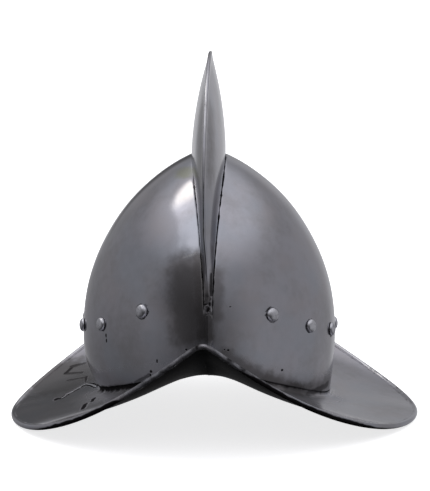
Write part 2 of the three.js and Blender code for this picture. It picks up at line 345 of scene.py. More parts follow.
def sheetSteel():
    material, start = newMaterial("sheet_steel")
    place = placeInMm(start)
    broad = place.speckle(sheetFinish["broadSize"], 3.0)
    warmth = place.speckle(sheetFinish["warmSize"], 2.0)
    slate = place.speckle(sheetFinish["slateSize"], 2.0)
    mottle = place.speckle(sheetFinish["mottleSize"], 4.0, 0.6)
    grain = place.speckle(sheetFinish["grainSize"], 2.0)
    grimeAndShade, worn, matt = (marked(start, layer) for layer in markLayers)
    streakPlace = start.vector("MULTIPLY", place, sheetFinish["streaks"])
    streak = start.node("ShaderNodeTexNoise", {}, {"Vector": streakPlace, "Scale": 1.0, "Detail": 2.0})
    ragged = (mottle - 0.5) * sheetFinish["ragged"]

    def edged(key, mark):
        return mark.between(*sheetFinish["edges"][key])

    def onStrokes(key, rag=1.0):
        for begin, end, reach, depth in sheetFinish[key]:
            yield edged(key, place.stroke(begin, end, reach) + ragged * rag) * depth

    def onBlots(key):
        for centre, size, depth in sheetFinish[key]:
            yield edged(key, place.blot(centre, size) + ragged) * depth

    colour = start.blend(edged("dull", broad + mottle * 0.5), sheetFinish["steel"], sheetFinish["dull"])
    colour = start.blend(edged("warm", warmth) * sheetFinish["warmShare"], colour, sheetFinish["warm"])
    colour = start.blend(edged("slate", slate) * sheetFinish["slateShare"], colour, sheetFinish["slate"])
    # painted highlight: bright, less metallic marks standing in for highlights on the brim's roll and weld,
    # the comb's ridge, the crease and the skull
    paintedHighlight = strongest([worn, *onStrokes("paintedGlints", sheetFinish["glintRag"])])
    colour = start.blend(paintedHighlight, colour, sheetFinish["worn"])
    # painted dark reflection and shade mixed with real stains
    stainAndShade = strongest([*onBlots("stains"), *onStrokes("smearsAndShade")])
    colour = start.blend(stainAndShade, colour, sheetFinish["stainAndShade"])
    colour = start.blend(strongest(onBlots("straws")), colour, sheetFinish["straw"])
    speck = (grain - 0.5) * sheetFinish["pitRag"]
    pits = [edged("pits", place.blot(centre, size) + speck) for centre, size in sheetFinish["pits"]]
    # dark marks: dirt along seams and in pits, and painted shade at the brim's root, round rivet heads,
    # beside the crease and along the roll
    grimeAndShadeMask = edged("grimeAndShadeMask", grimeAndShade + (mottle - 0.5) * sheetFinish["grimeShadeRag"])
    sootAndShade = strongest([grimeAndShadeMask, *pits, *onStrokes("strokesAndShade"), *onBlots("darkReflections")])
    colour = start.blend(sootAndShade, colour, sheetFinish["dirtAndShade"])

    polish = sheetFinish["polish"] + (broad - 0.5) * sheetFinish["broadRough"]
    polish = polish + (streak - 0.5) * sheetFinish["streakRough"] + stainAndShade * sheetFinish["stainShadeRough"]
    polish = polish + paintedHighlight * sheetFinish["wornRough"] + matt * sheetFinish["mattRough"]
    height = grain * sheetFinish["grainHeight"] + streak * sheetFinish["streakHeight"]
    height = height + mottle * sheetFinish["mottleHeight"] - sootAndShade * sheetFinish["sootShadeHeight"]
    metal = 1 - sootAndShade * sheetFinish["sootShadeCover"] - paintedHighlight * sheetFinish["wornCover"]
    closeMaterial(start, {
        "Base Color": colour,
        "Roughness": polish.most(sootAndShade * sootAndShade * sheetFinish["sootShadeRough"]),
        "Metallic": metal.most(0.0),
        "Specular IOR Level": sheetFinish["shine"],
        "Normal": bumped(start, height),
    })
    return material


# painted shade: the inside and the brim's underside are near black, standing in for the deep shade there as
# well as a blackened finish
insideFinish = {
    "black": (0.003, 0.003, 0.0032, 1.0),
    "bare": (0.009, 0.0085, 0.008, 1.0),
    "bareFrom": (0.45, 0.75),
    "cloudSize": 22.0,
    "grainSize": 1.6,
    "roughness": 0.46,
    "grainRough": 0.2,
    "shine": 0.1,
    "grainHeight": 0.03,
    "cloudHeight": 0.25,
}


def insideSteel():
    material, start = newMaterial("shaded_black_inside")
    place = placeInMm(start)
    cloud = place.speckle(insideFinish["cloudSize"], 4.0, 0.6)
    grain = place.speckle(insideFinish["grainSize"], 3.0)
    bare = cloud.between(*insideFinish["bareFrom"])
    height = grain * insideFinish["grainHeight"] + cloud * insideFinish["cloudHeight"]
    closeMaterial(start, {
        "Base Color": start.blend(bare, insideFinish["black"], insideFinish["bare"]),
        "Roughness": insideFinish["roughness"] + (grain - 0.5) * insideFinish["grainRough"],
        "Specular IOR Level": insideFinish["shine"],
        "Normal": bumped(start, height),
    })
    return material


rivetFinish = {
    "steel": (0.55, 0.55, 0.585, 1.0),
    "dull": (0.36, 0.36, 0.385, 1.0),
    "dullFrom": (0.4, 0.75),
    "dirtAndShade": (0.015, 0.014, 0.014, 1.0),
    "mottleSize": 3.0,
    "grainSize": 0.6,
    "shadeRag": 0.6,
    "shadeFrom": (0.4, 0.9),
    "roughness": 0.3,
    "mottleRough": 0.2,
    "sootShadeRough": 0.7,
    "sootShadeCover": 0.9,
    "shine": 0.1,
    "grainHeight": 0.015,
    "mottleHeight": 0.06,
}


def rivetSteel():
    material, start = newMaterial("rivet_steel")
    place = placeInMm(start)
    mottle = place.speckle(rivetFinish["mottleSize"], 4.0, 0.6)
    grain = place.speckle(rivetFinish["grainSize"], 2.0)
    # painted shade where the head sits on the skull
    sootAndShade = marked(start, "grimeAndShade") + (mottle - 0.5) * rivetFinish["shadeRag"]
    sootAndShade = sootAndShade.between(*rivetFinish["shadeFrom"])
    dull = mottle.between(*rivetFinish["dullFrom"])
    colour = start.blend(dull, rivetFinish["steel"], rivetFinish["dull"])
    roughness = rivetFinish["roughness"] + (mottle - 0.5) * rivetFinish["mottleRough"]
    height = grain * rivetFinish["grainHeight"] + mottle * rivetFinish["mottleHeight"]
    closeMaterial(start, {
        "Base Color": start.blend(sootAndShade, colour, rivetFinish["dirtAndShade"]),
        "Roughness": roughness.most(sootAndShade * rivetFinish["sootShadeRough"]),
        "Metallic": 1 - sootAndShade * rivetFinish["sootShadeCover"],
        "Specular IOR Level": rivetFinish["shine"],
        "Normal": bumped(start, height),
    })
    return material


steelOutside = sheetSteel()
steelInside = insideSteel()
steelRivets = rivetSteel()
print("steel finishes made")

# skull halves: each is part of an ellipsoid centred past the middle plane
skull = {
    "semiX": 143.2,
    "semiY": 123.4,
    "semiUp": 150.6,
    "semiDown": 108.5,
    "lowerPower": 2.4,
    "past": 44.5,
    "widestZ": 66.0,
    "rootDrop": 44.0,  # widest level to the brim's root at the sides
    "rootRise": 26.5,  # higher on the way to the peaks
    "rootPower": 2.3,
    "rootPeak": 9.5,  # and higher again right under them
    "rootPeakWidth": 0.29,
    "rootTilt": 2.5,  # down on the wearer's left, up on the right
    "lean": 5.0,  # of the lowest edge, towards the wearer's left
    "leanPower": 3.5,
    "sheet": 1.5,
    "rowSpread": math.radians(65),
    "columns": 200,
    "rows": 110,
    "rowPull": 0.92,
    "insideRows": 24,
    "calmEdge": 14.0,  # the hammering fades out this near to an edge
    "raggedSizes": (3.7, 1.6),
    "seamGap": 0.35,
    "seamClosed": 0.05,
    "seamReach": 1.3,
    "seamRag": 0.6,
    "seamDepth": 0.7,
    "seamDirt": 0.9,
    "seamEnds": (14.5, 16.0),  # climb in degrees, wearer's left and right
    "seamFade": 1.5,
    "lowSeam": 5.0,  # a short open stretch at the foot, on the left
    "lowSeamReach": 1.2,
    "lowSeamGape": 0.9,
    "highSeam": 64.0,  # nearly closed above this, on the right
    "highSeamFade": 8.0,
    "highSeamGape": 0.3,
    "seamMean": 0.85,  # and its wandering along the comb
    "seamVary": 0.5,
    "seamWaves": (25.0, 7.3),
    "lumpPlace": (-15.0, -94.0, 140.0),
    "lumpReach": 24.0,
    "lumpSize": 6.5,
    "lumpDepth": 0.16,
    "lumpFrom": 3.0,
    "mattReach": 34.0,  # less polished above the brim's root
    "rootReach": 1.4,
    "rootDepth": 0.5,
    "rootDirtAndShade": (0.65, 1.0),  # dirt and painted shade at the joint with the brim, wearer's left and right
    "rootShadeReach": (1.3, 3.2),  # behind and in front
    "rootRag": 1.6,
    "leastReach": 0.3,
    "frontFade": 40.0,
}


def skullLift(rise):
    if rise > 0:
        return (rise / skull["semiUp"]) ** 2
    return (-rise / skull["semiDown"]) ** skull["lowerPower"]


def skullLiftSlope(rise):
    if rise > 0:
        return 2 * rise / skull["semiUp"] ** 2
    power = skull["lowerPower"]
    return -power * (-rise / skull["semiDown"]) ** (power - 1) / skull["semiDown"]


def skullWidth(y, z):
    level = 1 - (y / skull["semiY"]) ** 2 - skullLift(z - skull["widestZ"])
    return skull["semiX"] * math.sqrt(level) - skull["past"]


def skullNormal(point):
    across = 2 * (point.x + math.copysign(skull["past"], point.x)) / skull["semiX"] ** 2
    along = 2 * point.y / skull["semiY"] ** 2
    return Vector((across, along, skullLiftSlope(point.z - skull["widestZ"]))).normalized()


def skullPoint(turn, z):
    across, along = math.sin(turn), math.cos(turn)
    a = (across / skull["semiX"]) ** 2 + (along / skull["semiY"]) ** 2
    b = abs(across) * skull["past"] / skull["semiX"] ** 2
    c = (skull["past"] / skull["semiX"]) ** 2 + skullLift(z - skull["widestZ"]) - 1
    reach = (math.sqrt(b * b - a * c) - b) / a
    return Vector((reach * across, -reach * along, z))


def rootHeight(turn):
    broad = skull["rootRise"] * abs(math.cos(turn)) ** skull["rootPower"]
    pointed = skull["rootPeak"] * math.exp(-((math.sin(turn) / skull["rootPeakWidth"]) ** 2))
    return skull["widestZ"] - skull["rootDrop"] + broad + pointed


# below its widest level the skull leans over to one side
def leaned(point):
    below = max(0.0, skull["widestZ"] - point.z) / skull["rootDrop"]
    return Vector((point.x + skull["lean"] * below ** skull["leanPower"], point.y, point.z))


# comb: a folded sheet that runs on as a strip down to both peaks
comb = {
    "height": 74.0,
    "halfWidth": 13.2,
    "stripHalfWidth": 2.6,
    "taper": 2.9,
    "start": math.radians(22),
    "swell": 1.3,
    "frontDrift": 3.3,  # of the ridge's front half, towards the wearer's right
    "topDrift": 1.8,  # of its top, towards the left
    "topPower": 8,
    "driftHeight": 20.0,
    "fullFrom": 12.0,  # lower than this it turns into the strip, a plain roof over the join
    "bulge": 1.8,
    "point": 0.95,
    "ridgeRadius": 1.0,
    "topRadius": 1.45,
    "radiusPower": 6,
    "noseBlend": 3,
    "leastHollow": 0.02,
    "calmFoot": 10.0,  # the hammering fades out this near to foot and ridge
    "calmRidge": 8.0,
    "raggedSizes": (3.1, 1.4),
    "footReach": 1.0,
    "footDepth": 0.35,
    "footNormal": 4.0,  # below this the sheet is pushed out along the skull's normal
    "seamDirt": (0.6, 0.8),
    "leastDirt": 0.3,
    "weldSize": 2.2,
    "weldHeight": 0.8,
    "weldBias": 0.1,
    "weldPlace": 18.5,  # climb in degrees, where the comb's foot ends
    "weldReach": 3.5,
    "weldFull": 1.3,
    "weldWidth": 3.0,
    "weldElsewhere": 0.12,
    "weldAtFoot": 0.3,
    "weldDirt": 0.9,
    "weldRag": 0.5,
    "ridgeHighlight": 0.6,
    "wornWidth": 1.0,
    "wornFrom": 224.0,  # heights between which the ridge is painted bright as a highlight, and below which it is painted dark as shade
    "wornTo": 274.0,
    "wornFades": (14.0, 8.0),
    "ridgeShade": 0.75,
    "darkWidth": 0.6,
    "darkFull": 1.1,
    "darkFrom": 138.0,
    "darkTo": 204.0,
    "darkFades": (8.0, 12.0),
    "columns": 360,
    "columnPull": 0.5,
    "sideSteps": 34,
    "sidePull": 0.9,
}


def footWidth(climb):
    return mix(comb["stripHalfWidth"], comb["halfWidth"], max(0.0, math.sin(climb)) ** comb["taper"])


def reachAt(climb, halfWidth):
    level = 1 - ((halfWidth + skull["past"]) / skull["semiX"]) ** 2
    upright, along = math.sin(climb), abs(math.cos(climb)) / skull["semiY"]
    if upright > 0:
        return math.sqrt(level / (along**2 + (upright / skull["semiUp"]) ** 2))
    reach = math.sqrt(level) / along
    for _ in range(settleRounds):
        reach = math.sqrt(level - skullLift(reach * upright)) / along
    return reach


def climbPoint(climb, x, reach):
    return Vector((x, -reach * math.cos(climb), skull["widestZ"] + reach * math.sin(climb)))


# strip, root and skull half meet at a corner below each peak
cornerWidth = comb["stripHalfWidth"] + skull["seamGap"]
cornerTurn = 0.0
for _ in range(settleRounds):
    cornerTurn = math.atan(cornerWidth / -skullPoint(cornerTurn, rootHeight(cornerTurn)).y)
corner = skullPoint(cornerTurn, rootHeight(cornerTurn))
cornerClimb = math.atan2(corner.z - skull["widestZ"], -corner.y)


# the root's point at a turn, on the wearer's left (1) or right (-1)
def rootPoint(turn, side):
    away = 1 - (math.cos(turn) / math.cos(cornerTurn)) ** 2
    return skullPoint(turn, rootHeight(turn) - side * skull["rootTilt"] * away)


# how open the seam beside the comb is: below the comb's ends it is ground smooth
def seamOpen(climb, sign):
    low = math.degrees(min(climb, math.pi - climb))
    gape = fade((low - ofSide(skull["seamEnds"], sign)) / skull["seamFade"])
    if sign > 0:
        gape = max(gape, skull["lowSeamGape"] * band(low - skull["lowSeam"], skull["lowSeamReach"]))
    else:
        high = fade((low - skull["highSeam"]) / skull["highSeamFade"])
        gape *= mix(1.0, skull["highSeamGape"], high)
    along, across = skull["seamWaves"]
    wander = noise.noise(Vector((climb * along, sign * across, 0.0)))
    return gape * (skull["seamMean"] + skull["seamVary"] * wander)


# rivets: domed heads outside, plain peened tails inside
rivet = {
    # degrees from the front peak, and height above the floor
    "left": [(27, 94.0), (49.5, 80.4), (71, 71.7), (97, 68.1), (126, 79.3), (152, 95.3)],
    "right": [(28.5, 96.4), (54, 80.8), (80, 72.7), (101, 72.8), (126, 79.8), (151.5, 96.4)],
    "headRadius": 5.15,
    "headHeight": 3.5,
    "headPower": 0.9,
    "lip": 0.45,
    "lipTurn": 0.15,
    "seatGap": 0.4 * skull["seamGap"],
    "shankRadius": 2.0,
    "tailRadius": 3.1,
    "tailHeight": 1.3,
    "tailTop": 0.8,
    "tailEdge": 0.6,
    "tailGap": 0.8,
    "segments": 40,
    "domeSteps": 12,
    "dressing": 0.22,
    "dressingSize": 3.1,
    "dressingSteps": (31.7, 17.3),  # from one rivet to the next
    "seatShade": 0.9,
    "ringShadow": 0.75,  # painted shadow on the skull round each head
    "ringGap": 0.3,
    "ringWidth": 0.8,
    "sharpAngle": math.radians(50),
}


def rivetSeats(side, sign):
    seats = [skullPoint(math.radians(degrees), height) for degrees, height in rivet[side]]
    return [Vector((seat.x * sign, seat.y, seat.z)) for seat in seats]


# down the outside from the comb's foot to the root, and back up the inside
def skullLoop(part, sign, seats):
    climb = mix(cornerClimb, math.pi - cornerClimb, part)
    gape = seamOpen(climb, sign)
    halfWidth = footWidth(climb) + mix(skull["seamClosed"], skull["seamGap"], gape)
    foot = climbPoint(climb, halfWidth, reachAt(climb, halfWidth))
    root = rootPoint(mix(cornerTurn, math.pi - cornerTurn, part), sign)
    dirtReach = mix(*skull["rootShadeReach"], fade(-root.y / skull["frontFade"]))

    def onSkin(row):
        height = math.sin(skull["rowSpread"] * (1 - row)) / math.sin(skull["rowSpread"])
        y, z = mix(root.y, foot.y, height), mix(root.z, foot.z, height)
        return Vector((sign * skullWidth(y, z), y, z))

    outside = [onSkin(row) for row in packedSteps(skull["rows"], skull["rowPull"])]
    inside = [onSkin(row) for row in packedSteps(skull["insideRows"], 0.0)]
    shut = footWidth(climb) + skull["seamClosed"]  # inside, the seam is shut
    inside[0] = climbPoint(climb, sign * shut, reachAt(climb, shut))
    run = [0.0]
    for a, b in zip(outside, outside[1:]):
        run.append(run[-1] + (b - a).length)
    loop = []
    for point, gone in zip(outside, run):
        left = run[-1] - gone
        ragged = raggedAt(point, skull["raggedSizes"])
        push = unevenness(point, fade(gone / skull["calmEdge"]) * fade(left / skull["calmEdge"]))
        near = fade(1 - (point - Vector(skull["lumpPlace"])).length / skull["lumpReach"])
        lump = noise.noise(point / skull["lumpSize"]) * skull["lumpDepth"]
        push += lump * near * fade(gone / skull["lumpFrom"])
        seamReach = skull["seamReach"] * (1 + skull["seamRag"] * ragged)
        push += edgeRoll(gone, seamReach, skull["seamDepth"]) * gape
        push += edgeRoll(left, skull["rootReach"], skull["rootDepth"])
        seamDirt = gape * (1 - gone / max(skull["leastReach"], skull["seamDirt"] * (1 + ragged)))
        # dirt and painted shade along the joint with the brim
        rootReach = max(skull["leastReach"], dirtReach + skull["rootRag"] * ragged)
        rootDirtAndShade = ofSide(skull["rootDirtAndShade"], sign) - left / rootReach
        # painted shadow round each rivet head
        fromHead = min(abs((point - seat).length - rivet["headRadius"] - rivet["ringGap"]) for seat in seats)
        ringShadow = rivet["ringShadow"] * band(fromHead, rivet["ringWidth"])
        dirtAndShade = max(0.0, seamDirt, rootDirtAndShade, ringShadow)
        matt = fade(1 - left / skull["mattReach"])
        loop.append((leaned(point + skullNormal(point) * push), dirtAndShade, 0.0, matt))
    for point in reversed(inside):
        loop.append((leaned(point - skullNormal(point) * skull["sheet"]), 0.0, 0.0))
    return loop


for side, sign in (("left", 1), ("right", -1)):
    seats = rivetSeats(side, sign)
    loops = [skullLoop(i / skull["columns"], sign, seats) for i in range(skull["columns"] + 1)]
    bm = skinFromLoops(loops, False, skull["rows"] + 0.9)
    finishPiece(bm, f"skull_{side}_sheet", f"skull_{side}", [steelOutside, steelInside])


# the comb's outside section at a climb: half width and reach, from foot to ridge
def combSide(climb):
    halfWidth = footWidth(climb)
    foot = reachAt(climb, halfWidth)
    swing = (climb - comb["start"]) / (math.pi - 2 * comb["start"])
    rise = max(0.0, math.sin(math.pi * swing)) if 0 < swing < 1 else 0.0
    height = comb["height"] * rise ** comb["swell"]
    ridge = reachAt(climb, 0.0) + height
    full = min(1.0, height / comb["fullFrom"])
    bulge, point = mix(1.0, comb["bulge"], full), mix(1.0, comb["point"], full)
    upright = max(0.0, math.sin(climb))
    radius = mix(comb["ridgeRadius"], comb["topRadius"], upright ** comb["radiusPower"]) * full
    side = []
    for step in packedSteps(comb["sideSteps"], comb["sidePull"]):
        below = (1 - step) * (ridge - foot)
        nose = radius
        if below < radius:
            nose = math.sqrt(max(0.0, radius**2 - (radius - below) ** 2))
        flank = halfWidth * (1 - step**bulge) ** point
        width = (flank ** comb["noseBlend"] + nose ** comb["noseBlend"]) ** (1 / comb["noseBlend"])
        side.append(Vector((width, mix(foot, ridge, step))))
    front = comb["frontDrift"] * max(0.0, math.sin(2 * climb))
    top = comb["topDrift"] * upright ** comb["topPower"]
    drift = (top - front) * min(1.0, height / comb["driftHeight"])
    return side, drift


# the same section one sheet further in, closed where its two sides meet
def combHollow(side):
    inner = []
    for i, point in enumerate(side):
        run = (side[min(i + 1, len(side) - 1)] - side[max(i - 1, 0)]).normalized()
        if i == len(side) - 1:
            run = Vector((-1.0, 0.0))
        inner.append(point + Vector((-run.y, run.x)) * skull["sheet"])
    last = next(i for i, point in enumerate(inner) if point.x <= comb["leastHollow"])
    before = inner[max(last - 1, 0)]
    apex = Vector((0.0, before.y))
    if last:
        apex = before.lerp(inner[last], before.x / (before.x - inner[last].x))
    return [point if i < last else apex for i, point in enumerate(inner)]


def combMarks(point, gone, top, gape, ending):
    ragged = raggedAt(point, comb["raggedSizes"])
    reach, rag = comb["seamDirt"]
    seamDirt = gape * (1 - gone / max(comb["leastDirt"], reach + rag * ragged))
    weldDirt = ending * (comb["weldRag"] - ragged) * comb["weldDirt"]
    # painted highlight along the ridge up high, and a painted line of shade along it lower down
    bright = fade((point.z - comb["wornFrom"]) / comb["wornFades"][0])
    bright *= fade((comb["wornTo"] - point.z) / comb["wornFades"][1])
    paintedHighlight = comb["ridgeHighlight"] * max(0.0, 1 - top / comb["wornWidth"]) * bright
    dark = fade((point.z - comb["darkFrom"]) / comb["darkFades"][0])
    dark *= fade((comb["darkTo"] - point.z) / comb["darkFades"][1])
    ridgeShade = comb["ridgeShade"] * max(0.0, comb["darkFull"] - top / comb["darkWidth"]) * dark
    return max(0.0, seamDirt, weldDirt, ridgeShade), paintedHighlight


def combLoop(climb):
    side, drift = combSide(climb)
    hollow = combHollow(side)
    span = side[-1].y - side[0].y

    def lay(sign, flat):
        return leaned(climbPoint(climb, sign * flat.x + drift * max(0.0, flat.y - side[0].y) / span, flat.y))

    low = math.degrees(min(climb, math.pi - climb))
    ending = band(low - comb["weldPlace"], comb["weldReach"], comb["weldFull"])
    over, under = [], []
    for sign in (1, -1):
        gape = seamOpen(climb, sign)
        welded = mix(comb["weldElsewhere"] * gape, 1.0, ending)
        flank, lining = [], []
        for i, (out, back) in enumerate(zip(side, hollow)):
            point = lay(sign, out)
            gone = (out - side[0]).length
            top = (side[-1] - out).length
            push = unevenness(point, fade(gone / comb["calmFoot"]) * fade(top / comb["calmRidge"]))
            push += edgeRoll(gone, comb["footReach"], comb["footDepth"]) * gape
            lump = max(0.0, noise.noise(point / comb["weldSize"]) + comb["weldBias"]) * comb["weldHeight"]
            push += lump * welded * fade(1 - gone / comb["weldWidth"]) * (1 if i else comb["weldAtFoot"])
            normal = Vector((sign, 0, 0)) if gone > comb["footNormal"] else skullNormal(point)
            if i == len(side) - 1:
                push = 0.0
            flank.append((point + normal * push, *combMarks(point, gone, top, gape, ending)))
            inner = lay(sign, back) if i else point - skullNormal(point) * skull["sheet"]
            lining.append((inner, 0.0, 0.0))
        over.append(flank)
        under.append(lining)
    outside = over[0] + over[1][-2::-1]
    inside = under[0] + under[1][-2::-1]
    return outside, inside


def combLoops():
    steps = packedSteps(comb["columns"], comb["columnPull"])
    climbs = [mix(cornerClimb, math.pi - cornerClimb, step) for step in steps]
    sections = [combLoop(climb) for climb in climbs]
    full = [outside + inside[::-1] for outside, inside in sections]
    ends = [outside + outside[::-1] for outside, _ in (sections[0], sections[-1])]
    return [ends[0], *full, ends[1]], len(sections[0][0]) - 0.1


loops, insideFrom = combLoops()
bm = skinFromLoops(loops, False, insideFrom)
finishPiece(bm, "comb_sheet", "comb", [steelOutside, steelInside])

# brim: boat-shaped, dished at the quarters, its edge rolled
brim = {
    "halfWidth": 157.5,
    "shift": 3.8,
    "peakShift": 3.6,
    "halfLength": 152.0,
    "peakLength": 20.8,
    "peakHalfWidth": 120.0,
    "peakPower": 1.6,
    "peakRounding": 0.03,
    "frontRise": 84.5,
    "frontPower": 1.54,
    "rearRise": 91.0,
    "rearPower": 1.1,
    "bead": 2.3,
    "footWear": 0.3,
    "fillet": 4.0,
    "sideDish": 1.0,
    "quarterDish": 5.0,
    "dishPower": 4,
    "frontHollow": 0.9,  # a shallow hollow in front on the wearer's left
    "hollowFrom": 8.0,
    "hollowTo": 40.0,
    "hollowFade": 30.0,
    "calmRoot": 12.0,  # the hammering fades out this near to root and edge
    "calmEdge": 10.0,
    "columns": 420,
    "columnPull": 0.6,
    "filletSteps": 8,
    "flatSteps": 26,
    "flatPull": 0.5,
    "rollSteps": 22,
    # parts of the way round, as the cosine of the turn from the front peak, and their fade
    "front": (0.5, 0.25),
    "peak": (0.86, 0.1),
    "rolledUnder": (-0.25, 0.4),
    "lightRollFrom": (0.97, 0.91),  # where the painted shadow under the roll gives way near the front peak, wearer's left and right
    "lightRollFade": 0.025,
    "wornBehind": (-0.3, 0.6),  # the same, for the painted highlight on the roll
    # marks on the sheet
    "raggedSizes": (4.1, 1.9),
    "rootDirtAndShade": (0.7, 1.0),  # dirt at the root and painted dark reflection over the fillet, wearer's left and right
    "rootReach": (9.0, 13.0),  # the same, in front
    "rootReachBehind": 2.6,
    "rootAhead": (12.0, 0.0),
    "rootFade": 40.0,
    "rootRag": 1.8,
    "leastReach": 0.4,
    "mattReach": 34.0,
    "mattFade": 30.0,
    "weldLine": 5.6,  # a painted highlight along the welded root, on the wearer's left
    "weldHalfWidth": 0.5,
    "weldFrom": (70.0, 10.0),
    "weldFade": 6.0,
    "weldHighlight": 0.5,
    "lineShade": 0.75,  # painted shade: a dark line where the sheet meets the roll
    "linePlace": 1.1,
    "lineRag": 0.8,
    "peakEdgeShade": 0.45,
    "peakReach": 6.0,
    # the roll, with its painted highlight and painted shadow, and angles from its outermost line
    "roll": 2.1,
    "rollLumps": 0.7,
    "lumpSize": 3.5,
    "lumpFade": 4,  # in steps round the roll
    "rollSlack": 0.01,
    "rollHighlight": 0.5,
    "highlightAngle": 2.2,
    "highlightSpread": 0.8,
    "highlightFull": 1.25,
    "rollShade": (-0.4, 1.3),  # angle under which the roll is painted black as shadow, at the sides and in front
    "rollShadeAtPeak": -0.7,  # the same at the peak
    "rollRag": 0.4,
    "rollRagSize": 6.0,
    "peakRollShade": 0.64,
    "shadeRag": 0.12,
    "peakShadeSize": 5.0,
    "beadShade": 0.54,  # painted shade that dims the bead's bright reflection, behind on the wearer's left
    "beadShadeFrom": (123.0, 20.0),
    "beadShadeFades": (8.0, 10.0),
    "blackFrom": 0.58,
}


def edgePoint(turn):
    across, along = math.sin(turn), math.cos(turn)
    soft = brim["peakRounding"]
    away = (math.hypot(across, soft) - soft) / (math.hypot(1, soft) - soft)
    near = max(0.0, 1 - away)
    pointed = max(0.0, 1 - away * brim["halfWidth"] / brim["peakHalfWidth"]) ** brim["peakPower"]
    x = brim["halfWidth"] * across + brim["shift"] * across**2 - brim["peakShift"] * along**2
    y = -math.copysign(brim["halfLength"] * abs(along) + brim["peakLength"] * pointed, along)
    end = "front" if along > 0 else "rear"
    rise = brim[end + "Rise"] * near ** brim[end + "Power"]
    return Vector((x, y, brim["bead"] - brim["footWear"] + rise))


def slopeOf(pointAt, turn, step=0.001):
    return (pointAt(turn + step) - pointAt(turn - step)).normalized()


def bezier(a, b, c, t):
    return a.lerp(b, t).lerp(b.lerp(c, t), t)


def bezierRun(a, b, c, t):
    return (b - a).lerp(c - b, t).normalized()


